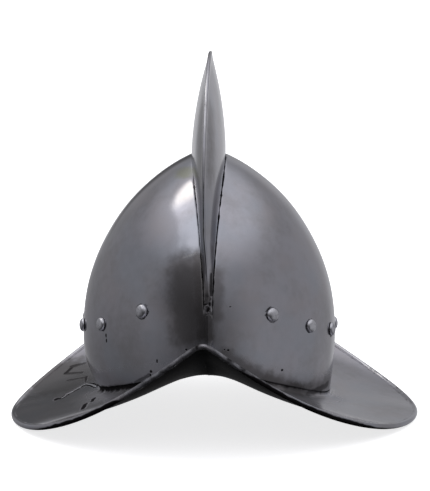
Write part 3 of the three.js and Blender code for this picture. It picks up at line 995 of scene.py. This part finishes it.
def brimLoop(turn):
    sheet, radius = skull["sheet"], brim["roll"]
    side = math.copysign(1, math.sin(turn))

    def partAt(low, length):
        return fade((math.cos(turn) - low) / length)

    def rootAt(there):
        return leaned(rootPoint(there, side))

    def onRoll(angle, size=radius):
        return end + (outward * math.cos(angle) + upward * math.sin(angle)) * size

    front, peak = partAt(*brim["front"]), partAt(*brim["peak"])
    lightRoll = partAt(ofSide(brim["lightRollFrom"], side), brim["lightRollFade"])
    behind = fade(ofSide(brim["wornBehind"], side) - 2 * math.cos(turn))
    out = skullNormal(rootPoint(turn, side))
    down = slopeOf(rootAt, turn).cross(out).normalized()
    down = -down if down.z > 0 else down
    begin = rootAt(turn) - out * sheet / 2 + down * skull["seamClosed"]
    elbow = begin + down * brim["fillet"]
    end = edgePoint(turn)
    ahead = (end - elbow).normalized()
    up = (-down - ahead * ahead.dot(-down)).normalized()
    bendEnd = elbow + ahead * brim["fillet"]
    along = slopeOf(edgePoint, turn)
    outward = (ahead - along * ahead.dot(along)).normalized()
    upward = along.cross(outward).normalized()
    upward = -upward if upward.z < 0 else upward
    raised = partAt(*brim["rolledUnder"]) * (radius - sheet / 2)  # rolled under in front, a bead behind
    sheetEnd = end + upward * raised - ahead * math.sqrt(max(0.0, radius**2 - (raised + sheet / 2) ** 2))
    rollFrom = math.pi - math.asin(min(1.0, (raised + sheet / 2) / radius))
    rollTo = -math.pi - math.asin((raised - sheet / 2) / radius)
    quarter = abs(math.sin(2 * turn)) * math.cos(turn) ** brim["dishPower"]
    dish = brim["sideDish"] + brim["quarterDish"] * quarter
    sag = bendEnd.lerp(sheetEnd, 0.5) - up * 2 * dish
    middle = []
    for i in range(brim["filletSteps"]):
        t = i / brim["filletSteps"]
        middle.append((bezier(begin, elbow, bendEnd, t), bezierRun(begin, elbow, bendEnd, t)))
    for t in packedSteps(brim["flatSteps"], brim["flatPull"]):
        middle.append((bezier(bendEnd, sag, sheetEnd, t), bezierRun(bendEnd, sag, sheetEnd, t)))

    def sheetMarks(point, gone, left):
        ragged = raggedAt(point, brim["raggedSizes"])
        # dirt and painted dark reflection on the fillet beside the root
        nearFront = fade((ofSide(brim["rootAhead"], side) - point.y) / brim["rootFade"])
        reach = mix(brim["rootReachBehind"], ofSide(brim["rootReach"], side), nearFront)
        reach = max(brim["leastReach"], reach + brim["rootRag"] * ragged)
        rootDirtAndShade = ofSide(brim["rootDirtAndShade"], side) - gone / reach
        # painted shade in the recess beside the roll
        fromLine = abs(left - brim["linePlace"]) / (1.0 + brim["lineRag"] * ragged)
        lineShade = (brim["lineShade"] - fromLine) * (1 - front)
        # painted shade along the sheet's edge near the front peak
        peakEdgeShade = peak * brim["peakEdgeShade"] * fade(1 - left / brim["peakReach"])
        # painted highlight along the weld at the root
        weld = band(gone - brim["weldLine"], brim["weldHalfWidth"])
        weld *= fade((point.x - brim["weldFrom"][0]) / brim["weldFade"])
        weld *= fade((brim["weldFrom"][1] - point.y) / brim["weldFade"])
        dirtAndShade = max(0.0, rootDirtAndShade, lineShade, peakEdgeShade) * (1 - weld)
        matt = fade(1 - gone / brim["mattReach"]) * fade(-point.y / brim["mattFade"])
        return dirtAndShade, brim["weldHighlight"] * weld, matt

    def rollMarks(point, angle):
        ragged = noise.noise(point / brim["rollRagSize"])
        # painted shadow on the roll's underside
        black = mix(mix(*brim["rollShade"], front), brim["rollShadeAtPeak"], lightRoll)
        rollShade = black - angle + brim["rollRag"] * ragged
        # painted shade on the roll at the front peak
        peakRollShade = peak * (brim["peakRollShade"] + brim["shadeRag"] * noise.noise(point / brim["peakShadeSize"]))
        # painted shade over the bead's reflection behind
        beadShade = brim["beadShade"] * fade((point.x - brim["beadShadeFrom"][0]) / brim["beadShadeFades"][0])
        beadShade *= fade((point.y - brim["beadShadeFrom"][1]) / brim["beadShadeFades"][1])
        # painted highlight along the top of the roll, behind
        paintedHighlight = brim["rollHighlight"] * band(angle - brim["highlightAngle"], brim["highlightSpread"], brim["highlightFull"])
        return max(0.0, rollShade, peakRollShade, beadShade), paintedHighlight * behind

    top, under, roll = [], [], []
    for point, run in middle:
        face = (up * run.dot(ahead) - ahead * run.dot(up)) * sheet / 2
        gone, left = (point - begin).length, (point - sheetEnd).length
        wave = up * unevenness(point, fade(gone / brim["calmRoot"]) * fade(left / brim["calmEdge"]))
        if side > 0:
            hollow = fade(gone / brim["hollowFrom"]) * fade((brim["hollowTo"] - gone) / brim["hollowFade"])
            wave -= up * brim["frontHollow"] * front * hollow
        top.append((point + face + wave, *sheetMarks(point, gone, left)))
        below = point - face + wave
        if (below - end).length <= radius - brim["rollSlack"]:
            below = onRoll(rollTo)
        under.append((below, 0.0, 0.0))
    for i in range(1, brim["rollSteps"]):
        angle = mix(rollFrom, rollTo, i / brim["rollSteps"])
        point = onRoll(angle)
        lump = (0.5 + 0.5 * noise.noise(point / brim["lumpSize"])) * brim["rollLumps"] * peak
        lump *= fade(i / brim["lumpFade"])
        roll.append((onRoll(angle, radius - lump), *rollMarks(point, angle)))
    loop = top + roll + under[::-1]
    return [(Vector((p.x, p.y, max(p.z, 0.0))), *marks) for p, *marks in loop]


loops = [brimLoop(2 * math.pi * t) for t in packedSteps(brim["columns"], brim["columnPull"], 2)[:-1]]
insideFrom = brim["filletSteps"] + brim["flatSteps"] + 1 + brim["rollSteps"] * brim["blackFrom"]
bm = skinFromLoops(loops, True, insideFrom)

# a raised crease in the brim's right side, seen from above in mm from the middle plane
crease = {
    "path": [
        (-115.7, -9.9),
        (-112.5, -0.2),
        (-106.7, 6.5),
        (-101.8, 15.5),
        (-99.5, 17.5),
        (-97.0, 15.8),
        (-92.7, 6.4),
        (-89.3, -3.9),
    ],
    "height": 0.55,
    "halfWidth": 0.75,
    "furrow": 0.3,  # depth beside it, as a share of its height
    "furrowPlace": 2.2,  # in half widths, as are the next two
    "shadePlace": 2.5,
    "farthest": 5.0,
    "dirtAndShade": 1.25,
    "shadeRagged": 0.5,
    "shadeFall": 0.45,
    "raggedSize": 2.3,
    "paintedHighlight": 0.3,
    "highlightFull": 1.1,
    "unshadedTop": (1.3, 0.7),
    "reach": 5.0,
    "cuts": 3,
    "facesUp": 0.2,
}


def fromPath(place, path):
    gaps = []
    for a, b in zip(path, path[1:]):
        a, span = Vector(a), Vector(b) - Vector(a)
        part = min(1.0, max(0.0, (place - a).dot(span) / span.length_squared))
        gaps.append((place - a - span * part).length)
    return min(gaps)


def raiseCrease(bm):
    def near(vert):
        return fromPath(vert.co.xy, crease["path"])

    faces = [face for face in bm.faces if face.material_index == 0 and face.normal.z > 0]
    faces = [face for face in faces if min(near(vert) for vert in face.verts) < crease["reach"]]
    edges = list({edge for face in faces for edge in face.edges})
    bmesh.ops.subdivide_edges(bm, edges=edges, cuts=crease["cuts"], use_grid_fill=True)
    bm.normal_update()
    grimeAndShade, paintedHighlight = bm.verts.layers.float["grimeAndShade"], bm.verts.layers.float["paintedHighlight"]
    for vert in bm.verts:
        if vert.normal.z < crease["facesUp"] or vert.co.x > 0:
            continue
        gap = near(vert) / crease["halfWidth"]
        if gap > crease["farthest"]:
            continue
        # painted highlight on the crease's top and painted shade in the furrows beside it
        furrow = crease["furrow"] * math.exp(-((gap - crease["furrowPlace"]) ** 2))
        vert.co += vert.normal * (math.exp(-(gap**2)) - furrow) * crease["height"]
        vert[paintedHighlight] = max(vert[paintedHighlight], crease["paintedHighlight"] * fade(crease["highlightFull"] - gap))
        ragged = noise.noise(vert.co / crease["raggedSize"])
        fromShade = abs(gap - crease["shadePlace"])
        dirtAndShade = crease["dirtAndShade"] + crease["shadeRagged"] * ragged - fromShade * crease["shadeFall"]
        rate, start = crease["unshadedTop"]
        vert[grimeAndShade] = max(vert[grimeAndShade] * fade(gap), dirtAndShade) * fade(gap * rate - start)


raiseCrease(bm)
finishPiece(bm, "brim_sheet", "brim", [steelOutside, steelInside])


def rivetBody(seed):
    inside = -skull["sheet"] - rivet["tailGap"]
    low, lip = rivet["seatGap"], rivet["lip"]
    profile = [
        (0, inside - rivet["tailHeight"]),
        (rivet["tailRadius"] * rivet["tailTop"], inside - rivet["tailHeight"]),
        (rivet["tailRadius"], inside - rivet["tailHeight"] * rivet["tailEdge"]),
        (rivet["tailRadius"], inside),
        (rivet["shankRadius"], inside),
        (rivet["shankRadius"], low),
        (rivet["headRadius"] - rivet["lipTurn"], low),
        (rivet["headRadius"], low + lip * 0.5),
    ]
    for i in range(rivet["domeSteps"] + 1):
        angle = math.pi / 2 * i / rivet["domeSteps"]
        height = mix(low + lip, rivet["headHeight"], math.sin(angle) ** rivet["headPower"])
        profile.append((rivet["headRadius"] * math.cos(angle), height))
    profile[-1] = (0, rivet["headHeight"])
    bm = bmesh.new()
    verts = [bm.verts.new((radius, 0, height)) for radius, height in profile]
    edges = [bm.edges.new(pair) for pair in zip(verts, verts[1:])]
    turn = {"cent": (0, 0, 0), "axis": (0, 0, 1), "angle": 2 * math.pi, "steps": rivet["segments"]}
    bmesh.ops.spin(bm, geom=verts + edges, use_merge=True, **turn)
    bmesh.ops.remove_doubles(bm, verts=bm.verts, dist=weldDistance)
    grimeAndShade = bm.verts.layers.float.new("grimeAndShade")
    across, along = rivet["dressingSteps"]
    for vert in bm.verts:
        # painted shade at the head's seat
        vert[grimeAndShade] = max(0.0, 1 - abs(vert.co.z - low) / rivet["seatShade"])
        if vert.co.z > low + lip:
            place = vert.co + Vector((seed * across, seed * along, 0))
            inward = max(0.0, noise.noise(place / rivet["dressingSize"])) * rivet["dressing"]
            vert.co -= vert.co.normalized() * inward
    for face in bm.faces:
        face.smooth = True
    bmesh.ops.recalc_face_normals(bm, faces=bm.faces)
    return bm


for side, sign in (("left", 1), ("right", -1)):
    for i, seat in enumerate(rivetSeats(side, sign), 1):
        bm = rivetBody(i + 6 * (sign < 0))
        turned = skullNormal(seat).to_track_quat("Z", "Y").to_matrix().to_4x4()
        bm.transform(Matrix.Translation(seat) @ turned)
        node = f"rivet_{side}_{i}"
        finishPiece(bm, node + "_head", node, [steelRivets], rivet["sharpAngle"])

# camera at the photograph's place
camera = {
    "yaw": 0.2,
    "elevation": 8.5,
    "roll": -0.2,
    "distance": 1.5,
    "aim": (0.0009, 0.0, 0.1319),
    "sensor": 36.0,
    "pictureHeight": 491 * 0.78,  # pixels and mm to each
}


def makeCamera():
    yaw, elevation, roll = (math.radians(camera[key]) for key in ("yaw", "elevation", "roll"))
    level = math.cos(elevation)
    back = Vector((math.sin(yaw) * level, -math.cos(yaw) * level, math.sin(elevation)))
    right = (-back).cross(Vector((0, 0, 1))).normalized()
    up = right.cross(-back)
    turned = right * math.cos(roll) + up * math.sin(roll)
    up = up * math.cos(roll) - right * math.sin(roll)
    data = bpy.data.cameras.new("camera")
    data.sensor_width = camera["sensor"]
    data.lens = camera["sensor"] * camera["distance"] / (camera["pictureHeight"] * mm)
    eye = bpy.data.objects.new("camera", data)
    place = Vector(camera["aim"]) + back * camera["distance"]
    eye.matrix_world = Matrix((
        (turned.x, up.x, back.x, place.x),
        (turned.y, up.y, back.y, place.y),
        (turned.z, up.z, back.z, place.z),
        (0, 0, 0, 1),
    ))
    bpy.context.scene.collection.objects.link(eye)
    bpy.context.scene.camera = eye


makeCamera()

# studio: pale floor, and a soft room that is dark behind the camera and bright overhead
# pairs are where a part fades in: heights and compass in degrees, across and along as shares of 1
studio = {
    "floorHalf": 40.0,
    "floorDrop": 0.0002,
    "floor": (0.86, 0.86, 0.865, 1.0),
    "floorGlow": 0.9,
    "floorRough": 0.7,
    "floorClouds": 300.0,
    "cloudRough": 0.1,
    "walls": 0.40,
    "ceiling": 0.50,
    "ceilingRise": (24.0, 50.0),
    "zenith": 0.25,
    "zenithRise": (50.0, 90.0),
    "lowLeft": 0.45,
    "lowLeftAcross": (0.0, -0.6),
    "lowLeftFall": (20.0, -30.0),
    "below": 0.93,
    "belowFall": (-20.0, -50.0),
    "frontDark": 0.85,
    "frontMiddle": -4.0,
    "frontReach": (70.0, 20.0),
    "frontFall": (30.0, 5.0),
    "screenDark": 0.42,
    "screenMiddle": -50.0,
    "screenReach": (28.0, 8.0),
    "screenTop": (36.0, 27.0),
    "screenFoot": (0.0, 16.0),
    "backLeftDark": 0.7,
    "backLeftAlong": (0.88, 0.97),
    "backLeftAcross": (0.02, -0.10),
    "backLeftFoot": (0.0, 5.0),
    "backRightGlow": 0.3,
    "backRightAlong": (0.8, 0.93),
    "backRightAcross": (0.1, 0.3),
    "backLowGlow": 0.25,
    "backLowAlong": (0.955, 0.995),
    "backLowFall": (4.0, -3.0),
    "rightGlow": 0.12,
    "rightAcross": (0.2, 0.8),
    # a pane of light high on the left: its lower edge drops towards the camera, its far part is brightest
    "paneFrom": -133.0,
    "paneTo": -50.0,
    "paneSide": 3.0,
    "paneLow": 46.5,
    "paneEdge": (-1.5, 2.0),
    "paneTop": (72.0, 62.0),
    "paneDrop": 9.0,
    "paneDropFrom": (-90.0, -58.0),
    "paneGlow": 0.5,
    "middleGlow": 0.3,
    "middleFrom": (-84.0, -98.0),
    "farGlow": 1.3,
    "farFrom": (-98.0, -113.0),
    "cool": (0.965, 0.965, 1.0, 1.0),
    "warm": (1.0, 0.97, 0.90, 1.0),
    "lampFrom": (-0.434, 0.304, 0.848),
    "lampDistance": 1.7,
    "lampHeight": 0.15,
    "lampSize": 0.75,
    "lampPower": 10.0,
}


def makeFloor():
    bm = bmesh.new()
    bmesh.ops.create_grid(bm, x_segments=4, y_segments=4, size=studio["floorHalf"])
    bmesh.ops.translate(bm, vec=(0, 0, -studio["floorDrop"]), verts=bm.verts)
    mesh = bpy.data.meshes.new("floor")
    bm.to_mesh(mesh)
    bm.free()
    material, start = newMaterial("pale_floor")
    cloud = placeInMm(start).speckle(studio["floorClouds"], 2.0)
    closeMaterial(start, {
        "Base Color": studio["floor"],
        "Roughness": studio["floorRough"] + cloud * studio["cloudRough"],
        "Emission Color": studio["floor"],
        "Emission Strength": studio["floorGlow"],
    })
    mesh.materials.append(material)
    floor = bpy.data.objects.new("floor", mesh)
    bpy.context.scene.collection.objects.link(floor)
    floor.visible_glossy = False
    floor.visible_diffuse = False


# the room by compass and height in degrees, 0 towards the camera and positive to the right
def makeRoom():
    world = bpy.data.worlds.new("studio")
    world.use_nodes = True
    world.node_tree.nodes.clear()
    start = Wire(world.node_tree)
    where = start.node("ShaderNodeTexCoord", {}, {}, "Generated")
    across, along, height = (start.node("ShaderNodeSeparateXYZ", {}, {0: where}, axis) for axis in "XYZ")
    toDegrees = 180 / math.pi
    compass = start.math("ARCTAN2", across, along * -1.0) * toDegrees
    climb = start.math("ARCSINE", height) * toDegrees

    def part(direction, key):
        return direction.between(*studio[key])

    light = studio["walls"] + part(climb, "ceilingRise") * studio["ceiling"]
    light = light + part(climb, "zenithRise") * studio["zenith"]
    light = light * (1 - part(across, "lowLeftAcross") * part(climb, "lowLeftFall") * studio["lowLeft"])
    light = light * (1 - part(climb, "belowFall") * studio["below"])
    fromFront = start.math("ABSOLUTE", compass - studio["frontMiddle"])
    light = light * (1 - part(fromFront, "frontReach") * part(climb, "frontFall") * studio["frontDark"])
    fromScreen = start.math("ABSOLUTE", compass - studio["screenMiddle"])
    screen = part(fromScreen, "screenReach") * part(climb, "screenTop") * part(climb, "screenFoot")
    light = light * (1 - screen * studio["screenDark"])
    backLeft = part(along, "backLeftAlong") * part(across, "backLeftAcross") * part(climb, "backLeftFoot")
    light = light * (1 - backLeft * studio["backLeftDark"])

    overEdge = climb - studio["paneLow"] + part(compass, "paneDropFrom") * studio["paneDrop"]
    side = studio["paneSide"]
    ends = [compass.between(end - side, end + side) for end in (studio["paneFrom"], studio["paneTo"])]
    pane = part(overEdge, "paneEdge") * part(climb, "paneTop") * (ends[0] - ends[1])
    far = part(compass, "farFrom")
    glow = studio["paneGlow"] + part(compass, "middleFrom") * studio["middleGlow"] + far * studio["farGlow"]
    light = light + pane * glow

    backRight = part(along, "backRightAlong") * part(across, "backRightAcross")
    light = light * (1 + backRight * studio["backRightGlow"])
    light = light * (1 + part(across, "rightAcross") * studio["rightGlow"])
    light = light + part(along, "backLowAlong") * part(climb, "backLowFall") * studio["backLowGlow"]
    colour = start.blend(pane * far, studio["cool"], studio["warm"])
    shine = start.node("ShaderNodeBackground", {}, {"Color": colour, "Strength": light})
    out = world.node_tree.nodes.new("ShaderNodeOutputWorld")
    world.node_tree.links.new(shine.socket, out.inputs["Surface"])
    bpy.context.scene.world = world


def makeLamp():
    data = bpy.data.lights.new("softbox", "AREA")
    data.shape = "DISK"
    data.size = studio["lampSize"]
    data.energy = studio["lampPower"]
    lamp = bpy.data.objects.new("softbox", data)
    toward = Vector(studio["lampFrom"]).normalized()
    lamp.location = toward * studio["lampDistance"] + Vector((0, 0, studio["lampHeight"]))
    lamp.rotation_mode = "QUATERNION"
    lamp.rotation_quaternion = toward.to_track_quat("Z", "Y")
    lamp.visible_glossy = False
    bpy.context.scene.collection.objects.link(lamp)


makeFloor()
makeRoom()
makeLamp()
bpy.context.scene.view_settings.view_transform = "Standard"
print("camera, floor and lights set")
